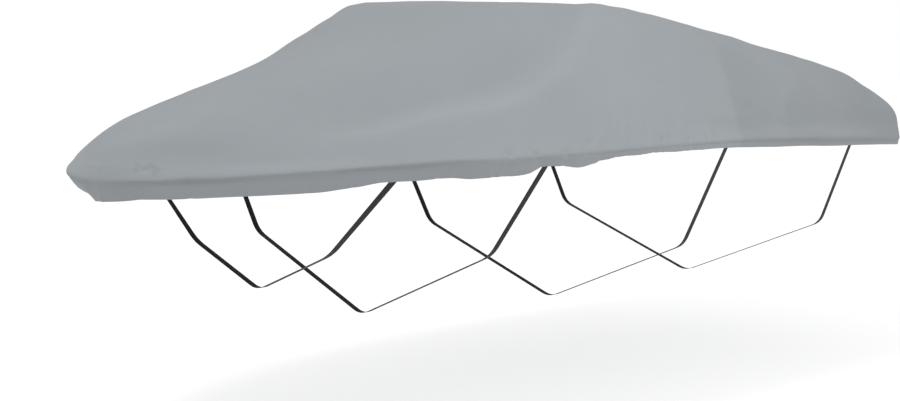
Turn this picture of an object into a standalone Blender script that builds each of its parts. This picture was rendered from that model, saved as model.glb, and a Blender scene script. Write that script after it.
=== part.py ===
"""Fitted cover of a V-hull runabout, with its four belly straps.

The cover is one hollow sheet: it runs from the ridge over the windscreen hump down to the
boat's rub rail, folds round the rail and ends in a drawn-in hem. Each strap is a flat web
that starts behind the port hem, follows the hull's side, turns at the chine and the keel,
and climbs to the starboard hem. The hull itself is not part of the object.

Lengths are metres. In the tables x runs aft from the bow, y is the distance from the
centre line (+Y starboard, -Y port) and z is the height over the rub rail amidships.
"""
import bisect

import bmesh
import bpy
from mathutils import Vector

CLOTH_THICKNESS = 0.002
WEB_WIDTH = 0.038
WEB_THICKNESS = 0.002
SEAT_GAP = 0.0005

# Where the supporting pole meets the cloth from below: the part's origin.
POLE_X = 3.000
RIDGE_AT_POLE = 0.720

PORT = -1.0
STARBOARD = 1.0

CANVAS_COLOUR = (0.34, 0.37, 0.39)
CANVAS_ROUGHNESS = 0.85
WEBBING_COLOUR = (0.015, 0.015, 0.017)
WEBBING_ROUGHNESS = 0.7

# Ribs of the cover, from the stem round the port or starboard side to the transom.
# rail_x, rail_y, rail_z: where the rib crosses the rub rail.
# top_x, top_z: where it leaves the ridge line, on the centre plane.
# low_in, low_up and high_in, high_up: two corners that shape the rib, as shares of the
# way in from the rail to the ridge and of the height between them.
# bays: the number of strips of cloth up to the next row.
RIB_COLUMNS = ("name", "rail_x", "rail_y", "rail_z", "top_x", "top_z",
               "low_in", "low_up", "high_in", "high_up", "crown_up", "bays")
RIBS = (
    ("stem",         0.000, 0.000, -0.051, 0.300, 0.168, 0.07, 0.33, 0.28, 0.66, 0.83, 2),
    ("stem_side",    0.040, 0.190, -0.050, 0.308, 0.171, 0.08, 0.33, 0.32, 0.69, 0.86, 2),
    ("bow_round",    0.160, 0.400, -0.044, 0.345, 0.185, 0.12, 0.37, 0.40, 0.81, 0.95, 3),
    ("bow",          0.400, 0.640, -0.023, 0.450, 0.227, 0.17, 0.37, 0.49, 0.86, 1.00, 3),
    ("foredeck",     0.780, 0.860, -0.002, 0.800, 0.328, 0.21, 0.35, 0.54, 0.79, 1.00, 4),
    ("screen_foot",  1.200, 1.020, 0.006, 1.150, 0.415, 0.20, 0.36, 0.50, 0.79, 1.00, 6),
    ("screen",       1.600, 1.120, 0.010, 1.500, 0.505, 0.17, 0.39, 0.45, 0.865, 1.00, 6),
    ("screen_top",   1.900, 1.160, 0.014, 1.800, 0.598, 0.16, 0.42, 0.42, 0.91, 1.00, 5),
    ("top_front",    2.200, 1.185, 0.017, 2.105, 0.727, 0.15, 0.42, 0.41, 0.945, 1.00, 4),
    ("top_fore",     2.550, 1.197, 0.018, 2.500, 0.732, 0.15, 0.445, 0.38, 0.96, 1.00, 3),
    ("top_mid",      3.000, 1.200, 0.017, 3.000, 0.720, 0.15, 0.46, 0.35, 0.96, 1.00, 3),
    ("top_back",     3.400, 1.195, 0.010, 3.400, 0.654, 0.14, 0.48, 0.34, 0.955, 1.00, 3),
    ("cockpit_fore", 3.810, 1.185, -0.004, 3.810, 0.588, 0.12, 0.49, 0.33, 0.945, 1.00, 3),
    ("cockpit",      4.270, 1.170, -0.026, 4.270, 0.506, 0.10, 0.505, 0.30, 0.935, 1.00, 3),
    ("quarter",      4.850, 1.130, -0.056, 4.800, 0.414, 0.07, 0.51, 0.25, 0.89, 1.00, 3),
    ("corner_fore",  5.230, 1.085, -0.080, 5.060, 0.350, 0.035, 0.46, 0.21, 0.76, 1.00, 2),
    ("corner",       5.365, 0.980, -0.086, 5.120, 0.330, 0.025, 0.45, 0.19, 0.735, 1.00, 2),
    ("corner_aft",   5.405, 0.800, -0.088, 5.155, 0.318, 0.02, 0.45, 0.16, 0.75, 1.00, 3),
    ("transom_side", 5.420, 0.400, -0.088, 5.180, 0.310, 0.02, 0.47, 0.10, 0.82, 1.00, 3),
    ("transom",      5.423, 0.000, -0.088, 5.190, 0.308, 0.02, 0.47, 0.10, 0.82, 1.00, 0),
)

# How far the cloth hangs below the rail and how far the drawn hem lies inside it.
# port_drop is uneven, where the hem is hitched up between the straps.
HEM_COLUMNS = ("rail_x", "port_drop", "starboard_drop", "tuck")
HEM = (
    (0.000, 0.095, 0.095, 0.012),
    (0.040, 0.090, 0.126, 0.074),
    (0.160, 0.085, 0.132, 0.110),
    (0.400, 0.094, 0.108, 0.113),
    (0.640, 0.100, 0.099, 0.104),
    (0.780, 0.092, 0.094, 0.098),
    (0.900, 0.079, 0.085, 0.091),
    (1.060, 0.079, 0.080, 0.081),
    (1.220, 0.076, 0.078, 0.072),
    (1.330, 0.088, 0.078, 0.067),
    (1.500, 0.085, 0.079, 0.058),
    (1.600, 0.085, 0.076, 0.054),
    (1.660, 0.077, 0.072, 0.051),
    (1.730, 0.051, 0.066, 0.048),
    (1.850, 0.051, 0.059, 0.042),
    (1.980, 0.069, 0.055, 0.038),
    (2.060, 0.057, 0.053, 0.035),
    (2.130, 0.044, 0.049, 0.033),
    (2.280, 0.034, 0.045, 0.029),
    (2.430, 0.038, 0.042, 0.025),
    (2.510, 0.031, 0.040, 0.023),
    (2.750, 0.036, 0.038, 0.020),
    (3.100, 0.040, 0.040, 0.017),
    (3.700, 0.044, 0.042, 0.014),
    (4.300, 0.042, 0.042, 0.012),
    (4.800, 0.038, 0.038, 0.012),
    (5.200, 0.034, 0.034, 0.012),
    (5.423, 0.034, 0.034, 0.012),
)

# The crown starts this share of the way from the upper corner to the ridge. It is level,
# but for the bow, where crown_up lets it lean with the rising ridge.
CROWN_SHARE = 0.40

# The cloth turns over the rail between these two distances from the fold, the lower one
# being at most this share of the skirt.
FOLD_ABOVE_RAIL = 0.035
FOLD_BELOW_RAIL = 0.022
FOLD_SHARE_OF_SKIRT = 0.5

# Points along one rib, for each corner of its shape from the ridge to the hem.
CROWN_STEPS = 3
SHOULDER_STEPS = 4
WALL_STEPS = 3
TURN_IN_STEPS = 1
RAIL_STEPS = 4
SKIRT_STEPS = 2
CORNER_STEPS = (CROWN_STEPS, SHOULDER_STEPS, WALL_STEPS, TURN_IN_STEPS, RAIL_STEPS, SKIRT_STEPS)

# Between two rows of the hem the size changes this much on a soft step, the rest evenly.
HEM_EASING = 0.5

# Half the stretch of rail, in rows of the table, that gives the direction square to it.
RAIL_DIRECTION_STEP = 0.02

# The rows between which the hem's place under a station is looked for, and how often the
# stretch is halved.
FIRST_SIDE_ROW = 1.0
LAST_SIDE_ROW = 16.0
HALVINGS = 40

MERGE_DISTANCE = 0.0001

# Belly straps: where each leaves the hem, and the corners of the hull that it follows below
# it: the chine, at a distance from the centre line, and the keel on it.
STRAP_COLUMNS = ("name", "hem_x", "chine_x", "chine_y", "chine_z", "keel_x", "keel_z")
STRAPS = (
    ("strap_bow",  0.985, 0.975, 0.462, -0.437, 0.960, -0.636),
    ("strap_fore", 1.765, 1.715, 0.808, -0.480, 1.672, -0.840),
    ("strap_mid",  3.180, 3.200, 0.900, -0.557, 3.210, -0.922),
    ("strap_aft",  4.540, 4.565, 0.938, -0.544, 4.575, -0.910),
)

# A strap's tab reaches this far up behind the hem, but not over this share of the skirt.
TAB_HEIGHT = 0.026
TAB_SHARE = 0.6

# Behind a tab the cloth is one flat bay of the first width, in a stretch of the second one
# that no other rib crosses.
STRAP_BAY_WIDTH = 0.050
CLEARED_WIDTH = 0.100

CHINE_ROUND = 0.050
KEEL_ROUND = 0.050
BEND_STEPS = 6


def column(columns, rows, name):
    """One named column of a table."""
    place = columns.index(name)
    return [row[place] for row in rows]


def spline(values, place):
    """Smooth curve through evenly numbered values; place 2.5 is half-way from 2 to 3."""
    last = len(values) - 1
    start = min(int(place), last - 1)
    share = place - start
    near, far = values[start], values[start + 1]
    before = values[start - 1] if start > 0 else 2 * near - far
    after = values[start + 2] if start + 2 <= last else 2 * far - near
    lean = (far - before) / 2
    lean_out = (after - near) / 2
    rise = far - near
    square = 3 * rise - 2 * lean - lean_out
    cube = lean + lean_out - 2 * rise
    return near + lean * share + square * share ** 2 + cube * share ** 3


def blend_at(positions, values, position):
    """Value at a position in a table, never beyond its two neighbours' values."""
    if position <= positions[0]:
        return values[0]
    if position >= positions[-1]:
        return values[-1]
    after = bisect.bisect_right(positions, position)
    share = (position - positions[after - 1]) / (positions[after] - positions[after - 1])
    eased = share * share * (3 - 2 * share)
    mixed = share * (1 - HEM_EASING) + eased * HEM_EASING
    return values[after - 1] + (values[after] - values[after - 1]) * mixed


def soft_corner_path(corners, steps):
    """Quadratic B-spline along a list of corners, its ends on the first and last one."""
    points = [corners[0]]
    bends = len(corners) - 2
    for bend in range(bends):
        corner = corners[bend + 1]
        start = corners[0] if bend == 0 else (corners[bend] + corner) / 2
        end = corners[-1] if bend == bends - 1 else (corner + corners[bend + 2]) / 2
        for step in range(1, steps[bend] + 1):
            share = step / steps[bend]
            points.append(start * (1 - share) ** 2 + corner * 2 * share * (1 - share)
                          + end * share ** 2)
    return points


def rib_shape(place):
    """The named sizes of a rib at a place along the table."""
    names = RIB_COLUMNS[1:-1]
    return {name: spline(column(RIB_COLUMNS, RIBS, name), place) for name in names}


def rail_point(place):
    """Where the rib crosses the rail, on the starboard side."""
    rib = rib_shape(place)
    return Vector((rib["rail_x"], rib["rail_y"], rib["rail_z"]))


def inward(place):
    """Level direction from the rail into the boat, square to the rail."""
    step = RAIL_DIRECTION_STEP
    last = len(RIBS) - 1
    if place < step:
        return Vector((1.0, 0.0, 0.0))
    if place > last - step:
        return Vector((-1.0, 0.0, 0.0))
    along = rail_point(min(place + step, last)) - rail_point(max(place - step, 0.0))
    return Vector((along.y, -along.x, 0.0)).normalized()


def hem_point(place, side):
    """The lower edge of the cloth on one side, given as a starboard point."""
    rail = rail_point(place)
    stations = column(HEM_COLUMNS, HEM, "rail_x")
    drops = column(HEM_COLUMNS, HEM, "port_drop" if side == PORT else "starboard_drop")
    drop = blend_at(stations, drops, rail.x)
    tuck = blend_at(stations, column(HEM_COLUMNS, HEM, "tuck"), rail.x)
    return rail + inward(place) * tuck - Vector((0.0, 0.0, drop))


def rib_points(place, side):
    """Points of the cloth's outer face from the ridge to the hem."""
    rib = rib_shape(place)
    rail = rail_point(place)
    top = Vector((rib["top_x"], 0.0, rib["top_z"]))
    span = top - rail

    def part_way(share_in, share_up):
        return rail + Vector((span.x * share_in, span.y * share_in, span.z * share_up))

    low = part_way(rib["low_in"], rib["low_up"])
    high = part_way(rib["high_in"], rib["high_up"])
    crown_in = rib["high_in"] + (1 - rib["high_in"]) * CROWN_SHARE
    crown = part_way(crown_in, rib["crown_up"])
    hem = hem_point(place, side)
    above = rail + (low - rail).normalized() * FOLD_ABOVE_RAIL
    skirt = hem - rail
    below = rail + skirt * min(FOLD_SHARE_OF_SKIRT, FOLD_BELOW_RAIL / skirt.length)
    corners = (top, crown, high, low, above, rail, below, hem)
    points = soft_corner_path(corners, CORNER_STEPS)
    return [Vector((point.x, point.y * side, point.z)) for point in points]


def place_at(x):
    """The place along the table where the hem passes a station x, the same on both sides."""
    low, high = FIRST_SIDE_ROW, LAST_SIDE_ROW
    for _ in range(HALVINGS):
        middle = (low + high) / 2
        if hem_point(middle, PORT).x < x:
            low = middle
        else:
            high = middle
    return (low + high) / 2


def strap_bay(strap_x, width):
    """Places of two ribs, a width apart along the boat, with a strap midway."""
    return place_at(strap_x - width / 2), place_at(strap_x + width / 2)


def rib_places():
    """Places of all the ribs: even bays, with a flat one behind each strap's tab."""
    places = []
    for row, bays in enumerate(column(RIB_COLUMNS, RIBS, "bays")):
        places.extend(row + bay / bays for bay in range(bays))
    places.append(len(RIBS) - 1)
    for strap_x in column(STRAP_COLUMNS, STRAPS, "hem_x"):
        cleared_from, cleared_to = strap_bay(strap_x, CLEARED_WIDTH)
        places = [place for place in places if not cleared_from < place < cleared_to]
        places.extend(strap_bay(strap_x, STRAP_BAY_WIDTH))
    return sorted(places)


def make_material(name, colour, roughness):
    material = bpy.data.materials.new(name)
    material.use_nodes = True
    shader = material.node_tree.nodes["Principled BSDF"]
    shader.inputs["Base Color"].default_value = (*colour, 1.0)
    shader.inputs["Roughness"].default_value = roughness
    return material


def add_object(name, mesh_data, material, anchor):
    mesh = bpy.data.meshes.new(name)
    mesh_data.to_mesh(mesh)
    mesh_data.free()
    mesh.materials.append(material)
    mesh.shade_smooth()
    piece = bpy.data.objects.new(name, mesh)
    piece.parent = anchor
    bpy.context.scene.collection.objects.link(piece)
    return piece


def make_cover(material, anchor):
    """Both sides of the sheet, joined along the ridge, the stem and the transom."""
    sheet = bmesh.new()
    for side in (PORT, STARBOARD):
        ribs = [[sheet.verts.new(point) for point in rib_points(place, side)]
                for place in rib_places()]
        for fore, aft in zip(ribs, ribs[1:]):
            for row in range(len(fore) - 1):
                corners = [fore[row], fore[row + 1], aft[row + 1], aft[row]]
                if side == STARBOARD:
                    corners.reverse()
                sheet.faces.new(corners)
    bmesh.ops.remove_doubles(sheet, verts=sheet.verts, dist=MERGE_DISTANCE)
    cover = add_object("cover", sheet, material, anchor)
    shell = cover.modifiers.new("cloth thickness", "SOLIDIFY")
    shell.thickness = CLOTH_THICKNESS
    shell.offset = -1.0
    shell.use_even_offset = True
    return cover


def bend(before, corner, after, reach):
    """A soft bend at a corner, as points from reach before it to reach after it."""
    start = corner + (before - corner).normalized() * reach
    end = corner + (after - corner).normalized() * reach
    points = []
    for step in range(BEND_STEPS + 1):
        share = step / BEND_STEPS
        points.append(start * (1 - share) ** 2 + corner * 2 * share * (1 - share)
                      + end * share ** 2)
    return points


def half_strap(strap, side):
    """Half a strap from its tab behind the hem to the keel: points, and width directions."""
    fore, to_aft = strap_bay(strap["hem_x"], STRAP_BAY_WIDTH)
    hem_fore, hem_aft = hem_point(fore, side), hem_point(to_aft, side)
    hem = (hem_fore + hem_aft) / 2
    skirt = hem - (rail_point(fore) + rail_point(to_aft)) / 2
    aft = Vector((1.0, 0.0, 0.0))
    along_hem = (hem_aft - hem_fore).normalized()
    facing_in = skirt.cross(along_hem).normalized()
    if facing_in.y > 0:
        facing_in.negate()
    seat = facing_in * (CLOTH_THICKNESS + SEAT_GAP + WEB_THICKNESS / 2)
    tab_foot = hem + seat
    tab_top = tab_foot - skirt.normalized() * min(TAB_HEIGHT, skirt.length * TAB_SHARE)
    chine = Vector((strap["chine_x"], strap["chine_y"], strap["chine_z"]))
    keel = Vector((strap["keel_x"], 0.0, strap["keel_z"]))
    far_chine = Vector((chine.x, -chine.y, chine.z))
    chine_bend = bend(tab_foot, chine, keel, CHINE_ROUND)
    keel_bend = bend(chine, keel, far_chine, KEEL_ROUND)[:BEND_STEPS // 2 + 1]
    points = [tab_top, tab_foot] + chine_bend + keel_bend
    widths = [along_hem] * 2 + [(along_hem + aft) / 2] * len(chine_bend) + [aft] * len(keel_bend)
    return points, widths


def make_strap(strap, material, anchor):
    """One flat web swept along both halves of its path."""
    path = []
    widths = []
    for side in (PORT, STARBOARD):
        points, directions = half_strap(strap, side)
        points = [Vector((point.x, point.y * side, point.z)) for point in points]
        directions = [Vector((way.x, way.y * side, way.z)) for way in directions]
        if side == STARBOARD:
            points = points[-2::-1]
            directions = directions[-2::-1]
        path.extend(points)
        widths.extend(directions)
    web = bmesh.new()
    rings = []
    for number, (point, width) in enumerate(zip(path, widths)):
        before = path[max(number - 1, 0)]
        after = path[min(number + 1, len(path) - 1)]
        along = (after - before).normalized()
        across = (width - along * width.dot(along)).normalized()
        half_width = across * (WEB_WIDTH / 2)
        half_depth = along.cross(across) * (WEB_THICKNESS / 2)
        rings.append([web.verts.new(point + half_width * wide + half_depth * deep)
                      for wide, deep in ((1, 1), (-1, 1), (-1, -1), (1, -1))])
    for ring, following in zip(rings, rings[1:]):
        for corner in range(4):
            other = (corner + 1) % 4
            web.faces.new((ring[corner], ring[other], following[other], following[corner]))
    web.faces.new(list(reversed(rings[0])))
    web.faces.new(rings[-1])
    bmesh.ops.recalc_face_normals(web, faces=web.faces)
    return add_object(strap["name"], web, material, anchor)


def main():
    for old in list(bpy.data.objects):
        bpy.data.objects.remove(old, do_unlink=True)
    anchor = bpy.data.objects.new("boat_frame", None)
    bpy.context.scene.collection.objects.link(anchor)
    anchor.location = (-POLE_X, 0.0, CLOTH_THICKNESS - RIDGE_AT_POLE)
    cloth = make_material("grey polyester canvas", CANVAS_COLOUR, CANVAS_ROUGHNESS)
    webbing = make_material("black webbing", WEBBING_COLOUR, WEBBING_ROUGHNESS)
    make_cover(cloth, anchor)
    for row in STRAPS:
        make_strap(dict(zip(STRAP_COLUMNS, row)), webbing, anchor)


main()
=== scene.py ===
"""Looks of the fitted boat cover: draped canvas, drawn hem with its stitching, belly straps.

Lengths are metres. In the tables x runs aft from the bow, y is the distance from the centre
line (+Y starboard, -Y port), and z is the height over the rub rail amidships, as in the CAD.
On the cloth, along is the distance from the stem on the rail, and up is the distance from the
fold at the rail, the skirt being below zero.
"""
import math
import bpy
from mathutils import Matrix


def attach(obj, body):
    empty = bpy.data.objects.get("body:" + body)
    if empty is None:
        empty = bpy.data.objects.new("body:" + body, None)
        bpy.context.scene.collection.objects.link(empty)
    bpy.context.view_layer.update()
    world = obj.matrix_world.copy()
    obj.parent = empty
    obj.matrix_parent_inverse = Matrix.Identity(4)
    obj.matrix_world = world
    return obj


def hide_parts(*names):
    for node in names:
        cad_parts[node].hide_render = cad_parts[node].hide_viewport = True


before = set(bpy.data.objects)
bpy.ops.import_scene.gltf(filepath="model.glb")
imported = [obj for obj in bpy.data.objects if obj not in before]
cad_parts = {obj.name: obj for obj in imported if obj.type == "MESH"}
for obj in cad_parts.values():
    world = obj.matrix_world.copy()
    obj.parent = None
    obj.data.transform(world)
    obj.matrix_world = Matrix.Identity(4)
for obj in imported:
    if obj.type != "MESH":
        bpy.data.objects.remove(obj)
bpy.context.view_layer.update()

from types import SimpleNamespace

import bpy
import numpy as np
from mathutils import Vector

# The CAD's origin, in the tables' own coordinates.
ORIGIN = np.array([3.000, 0.0, 0.718])
PORT = -1.0
STARBOARD = 1.0
SIDE_NAMES = {PORT: "port", STARBOARD: "starboard"}


def table(columns, *rows):
    """A table's rows, each with its values under the names of their columns."""
    return [SimpleNamespace(**dict(zip(columns.split(), row))) for row in rows]


def column(rows, name):
    return np.array([getattr(row, name) for row in rows], dtype=float)


def both_sides(columns, port, starboard):
    return {PORT: table(columns, *port), STARBOARD: table(columns, *starboard)}


# ---------------- shape of the cover
# Ribs across the cover, from the stem round to the transom. Each goes from the ridge, here
# called top, past three corners to the rail. In and up are shares of the way from rail to ridge.
RIBS = table(
    "name rail_x rail_y rail_z top_x top_z low_in low_up high_in high_up crown_up",
    ("stem", 0.0, 0.0, -0.051, 0.3, 0.168, 0.07, 0.33, 0.28, 0.66, 0.83),
    ("stem_side", 0.04, 0.19, -0.05, 0.308, 0.171, 0.08, 0.33, 0.32, 0.69, 0.86),
    ("bow_round", 0.16, 0.4, -0.044, 0.345, 0.185, 0.12, 0.37, 0.4, 0.81, 0.95),
    ("bow", 0.4, 0.64, -0.023, 0.45, 0.227, 0.17, 0.37, 0.49, 0.86, 1.0),
    ("foredeck", 0.78, 0.86, -0.002, 0.8, 0.328, 0.21, 0.35, 0.54, 0.79, 1.0),
    ("screen_foot", 1.2, 1.02, 0.006, 1.15, 0.415, 0.2, 0.36, 0.5, 0.79, 1.0),
    ("screen", 1.6, 1.12, 0.01, 1.5, 0.505, 0.17, 0.39, 0.45, 0.865, 1.0),
    ("screen_top", 1.9, 1.16, 0.014, 1.8, 0.598, 0.16, 0.42, 0.42, 0.91, 1.0),
    ("top_front", 2.2, 1.185, 0.017, 2.105, 0.727, 0.15, 0.42, 0.41, 0.945, 1.0),
    ("top_fore", 2.55, 1.197, 0.018, 2.5, 0.732, 0.15, 0.445, 0.38, 0.96, 1.0),
    ("top_mid", 3.0, 1.2, 0.017, 3.0, 0.72, 0.15, 0.46, 0.35, 0.96, 1.0),
    ("top_back", 3.4, 1.195, 0.01, 3.4, 0.654, 0.14, 0.48, 0.34, 0.955, 1.0),
    ("cockpit_fore", 3.81, 1.185, -0.004, 3.81, 0.588, 0.12, 0.49, 0.33, 0.945, 1.0),
    ("cockpit", 4.27, 1.17, -0.026, 4.27, 0.506, 0.1, 0.505, 0.3, 0.935, 1.0),
    ("quarter", 4.85, 1.13, -0.056, 4.8, 0.414, 0.07, 0.51, 0.25, 0.89, 1.0),
    ("corner_fore", 5.23, 1.085, -0.08, 5.06, 0.35, 0.035, 0.46, 0.21, 0.76, 1.0),
    ("corner", 5.365, 0.98, -0.086, 5.12, 0.33, 0.025, 0.45, 0.19, 0.735, 1.0),
    ("corner_aft", 5.405, 0.8, -0.088, 5.155, 0.318, 0.02, 0.45, 0.16, 0.75, 1.0),
    ("transom_side", 5.42, 0.4, -0.088, 5.18, 0.31, 0.02, 0.47, 0.1, 0.82, 1.0),
    ("transom", 5.423, 0.0, -0.088, 5.19, 0.308, 0.02, 0.47, 0.1, 0.82, 1.0),
)
CROWN_SHARE = 0.4
FOLD_ABOVE_RAIL = 0.035
FOLD_BELOW_RAIL = 0.022
FOLD_SHARE_OF_SKIRT = 0.5
RAIL_DIRECTION_STEP = 0.02

# How far the hem hangs below the rail and is tucked in under it, at x of the rail.
HEM = table(
    "at port_drop starboard_drop port_tuck starboard_tuck",
    (0.0, 0.095, 0.095, 0.03, 0.03),
    (0.04, 0.083, 0.1, 0.078, 0.12),
    (0.16, 0.081, 0.112, 0.11, 0.152),
    (0.4, 0.095, 0.112, 0.113, 0.15),
    (0.64, 0.1, 0.102, 0.104, 0.124),
    (0.78, 0.091, 0.094, 0.098, 0.108),
    (0.9, 0.073, 0.085, 0.091, 0.091),
    (1.06, 0.072, 0.08, 0.081, 0.081),
    (1.22, 0.069, 0.078, 0.072, 0.072),
    (1.33, 0.081, 0.078, 0.067, 0.067),
    (1.5, 0.077, 0.079, 0.058, 0.058),
    (1.6, 0.079, 0.076, 0.054, 0.054),
    (1.66, 0.071, 0.072, 0.051, 0.051),
    (1.73, 0.045, 0.066, 0.048, 0.048),
    (1.85, 0.051, 0.059, 0.042, 0.042),
    (1.98, 0.068, 0.055, 0.038, 0.038),
    (2.06, 0.057, 0.053, 0.035, 0.035),
    (2.13, 0.044, 0.049, 0.033, 0.033),
    (2.28, 0.034, 0.045, 0.029, 0.029),
    (2.43, 0.034, 0.042, 0.025, 0.025),
    (2.51, 0.027, 0.04, 0.023, 0.023),
    (2.75, 0.034, 0.038, 0.02, 0.02),
    (3.1, 0.036, 0.04, 0.017, 0.017),
    (3.7, 0.044, 0.042, 0.014, 0.014),
    (4.3, 0.042, 0.042, 0.012, 0.012),
    (4.8, 0.038, 0.038, 0.012, 0.012),
    (5.2, 0.034, 0.034, 0.012, 0.012),
    (5.423, 0.034, 0.034, 0.012, 0.012),
)
TABLE_EASING = 0.5

# Points down a rib, for each corner of its shape from the ridge to the hem.
CORNER_STEPS = (4, 11, 12, 11, 8, 7)
RAIL_ROW = sum(CORNER_STEPS[:4]) + CORNER_STEPS[4] // 2

# The inner face has fewer rows over the smooth top of the cover.
INNER_STEP = 3
FIRST_FINE_ROW = sum(CORNER_STEPS[:3])

# Spacing of the mesh's ribs, at distances along the rail from the stem.
SPACING_AT = (0.0, 0.5, 1.6, 2.0, 3.6, 4.2, 5.4, 5.9, 6.9)
SPACING = (0.011, 0.015, 0.013, 0.0095, 0.0095, 0.016, 0.017, 0.015, 0.022)
RAIL_SAMPLES = 4000

CLOTH = 0.0015
CLOTH_OVER_TOP = 0.0028
HEM_THICKNESS = 0.0045
HEM_WIDTH = 0.024
HEM_STEP = 0.003
HEM_STANDS_PROUD = 0.5
HEM_EDGE_ANGLES = (45.0, 90.0, 135.0)


def ease(share):
    return share * share * (3 - 2 * share)


def between_rows(rows, name, at):
    """A column at any places along the table's column at, never beyond its neighbours' values."""
    positions, values = column(rows, "at"), column(rows, name)
    at = np.clip(at, positions[0], positions[-1])
    after = np.clip(np.searchsorted(positions, at, side="right"), 1, len(positions) - 1)
    share = (at - positions[after - 1]) / (positions[after] - positions[after - 1])
    eased = share * (1 - TABLE_EASING) + ease(share) * TABLE_EASING
    return values[after - 1] + (values[after] - values[after - 1]) * eased


def spline(values, places):
    """Smooth curve through evenly numbered values, at an array of places."""
    last = len(values) - 1
    start = np.clip(places.astype(int), 0, last - 1)
    share = places - start
    padded = np.concatenate(([2 * values[0] - values[1]], values, [2 * values[-1] - values[-2]]))
    before, near, far, after = (padded[start + shift] for shift in range(4))
    lean, lean_out, rise = (far - before) / 2, (after - near) / 2, far - near
    return (near + lean * share + (3 * rise - 2 * lean - lean_out) * share ** 2
            + (lean + lean_out - 2 * rise) * share ** 3)


def bend(start, corner, end, share):
    """A point of the curve that leaves start towards the corner and turns there towards end."""
    return start * (1 - share) ** 2 + corner * 2 * share * (1 - share) + end * share ** 2


def unit(vectors):
    return vectors / np.maximum(np.linalg.norm(vectors, axis=-1, keepdims=True), 1e-9)


def lengths_along(points):
    """Distance of each point from the first one, along a line or along each line of a grid."""
    step = np.linalg.norm(np.diff(points, axis=-2), axis=-1)
    return np.concatenate([np.zeros((*step.shape[:-1], 1)), np.cumsum(step, axis=-1)], axis=-1)


def rib_values(name, places):
    return spline(column(RIBS, name), places)


def rail_points(places):
    return np.stack([rib_values(name, places) for name in ("rail_x", "rail_y", "rail_z")], axis=1)


def ribs(places, side):
    """Points of the smooth cloth, one row of points for each rib, as starboard points."""
    top_x, top_z, low_in, low_up, high_in, high_up, crown_up = (
        rib_values(name, places)
        for name in ("top_x", "top_z", "low_in", "low_up", "high_in", "high_up", "crown_up"))
    zero = np.zeros(len(places))
    rail = rail_points(places)
    top = np.stack([top_x, zero, top_z], axis=1)

    def part_way(share_in, share_up):
        return rail + (top - rail) * np.stack([share_in, share_in, share_up], axis=1)

    low = part_way(low_in, low_up)
    high = part_way(high_in, high_up)
    crown = part_way(high_in + (1 - high_in) * CROWN_SHARE, crown_up)
    last = len(RIBS) - 1
    ahead = rail_points(np.minimum(places + RAIL_DIRECTION_STEP, last))
    behind = rail_points(np.maximum(places - RAIL_DIRECTION_STEP, 0))
    along = ahead - behind
    inward = unit(np.stack([along[:, 1], -along[:, 0], zero], axis=1))
    inward[places < RAIL_DIRECTION_STEP] = (1, 0, 0)
    inward[places > last - RAIL_DIRECTION_STEP] = (-1, 0, 0)
    drop, tuck = (between_rows(HEM, SIDE_NAMES[side] + part, rail[:, 0])
                  for part in ("_drop", "_tuck"))
    skirt = inward * tuck[:, None]
    skirt[:, 2] -= drop
    above = rail + unit(low - rail) * FOLD_ABOVE_RAIL
    length = np.linalg.norm(skirt, axis=1)
    below = rail + skirt * np.minimum(FOLD_SHARE_OF_SKIRT, FOLD_BELOW_RAIL / length)[:, None]
    corners = (crown, high, low, above, rail, below)
    joints = [top] + [(near + far) / 2 for near, far in zip(corners, corners[1:])] + [rail + skirt]
    rows = [top]
    for start, corner, end, steps in zip(joints, corners, joints[1:], CORNER_STEPS):
        rows += [bend(start, corner, end, step / steps) for step in range(1, steps + 1)]
    return np.stack(rows, axis=1)


def stations():
    """Places of the ribs along the table and the rail: close together where the hem puckers."""
    fine = np.linspace(0, len(RIBS) - 1, RAIL_SAMPLES + 1)
    along = lengths_along(rail_points(fine))
    spacing = np.interp(along, SPACING_AT, SPACING)
    steps = np.diff(along) / ((spacing[1:] + spacing[:-1]) / 2)
    count = np.concatenate(([0], np.cumsum(steps)))
    wanted = np.linspace(0, count[-1], round(count[-1]) + 1)
    return np.interp(wanted, count, fine), np.interp(wanted, count, along)


def heights_over_rail(points):
    """Distance of each point up from the fold at the rail, along its own rib."""
    down = lengths_along(points)
    return down[:, RAIL_ROW:RAIL_ROW + 1] - down


# ---------------- relief of the cloth
# Width is from a form's middle to where it has half its height. A height below zero is a hollow.

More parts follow.
